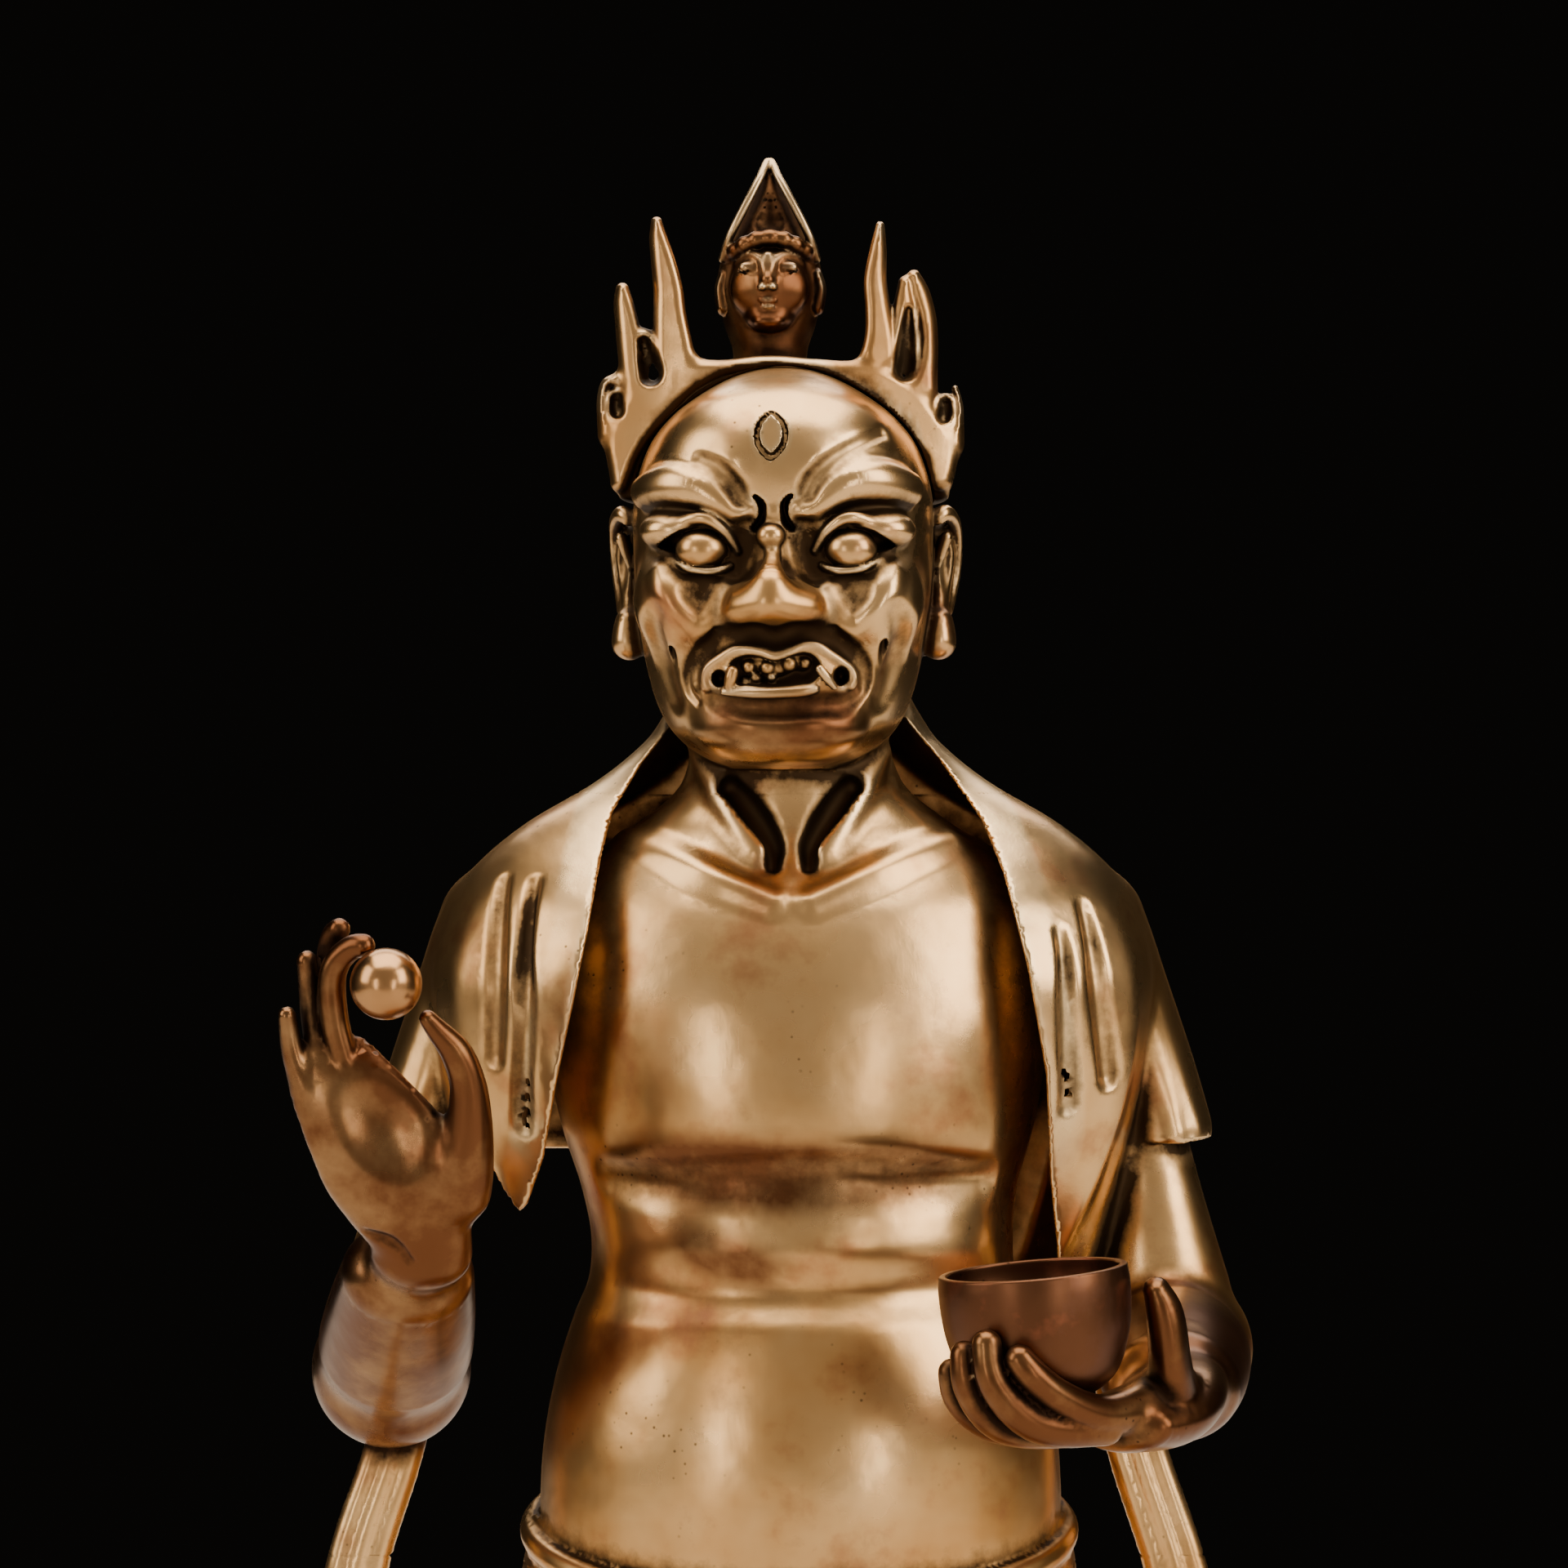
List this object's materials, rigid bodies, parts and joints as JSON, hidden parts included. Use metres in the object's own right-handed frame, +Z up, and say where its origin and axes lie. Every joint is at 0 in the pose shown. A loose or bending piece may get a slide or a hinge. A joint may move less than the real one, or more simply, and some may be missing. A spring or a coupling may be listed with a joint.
{
  "type": "brass guardian deity statue",
  "caption": "Standing cast brass guardian deity with fangs, flame crown, open shawl and long skirt, holding up a pearl and an alms bowl, on a low oval plinth.",
  "frame": {"origin": "centre of the plinth's flat underside", "axes": "+Z up through the standing figure, -Y the way it faces, +X towards its left hand, the one with the bowl"},
  "size_m": [0.1405, 0.1221, 0.3392],
  "materials": {
    "figure_brass": "polished, with dark brown patina left in the folds and hollows",
    "crown_brass": "polished on the raised parts, dark brown patina in the hollows",
    "pearl_brass": "polished",
    "bowl_brass": "polished, with brown patina",
    "plinth_brass": "worn polish over dark brown patina"
  },
  "bodies": {
    "root": {"figure": "figure_brass", "flame_crown": "crown_brass", "pearl": "pearl_brass", "alms_bowl": "bowl_brass", "plinth": "plinth_brass"}
  },
  "joints": []
}
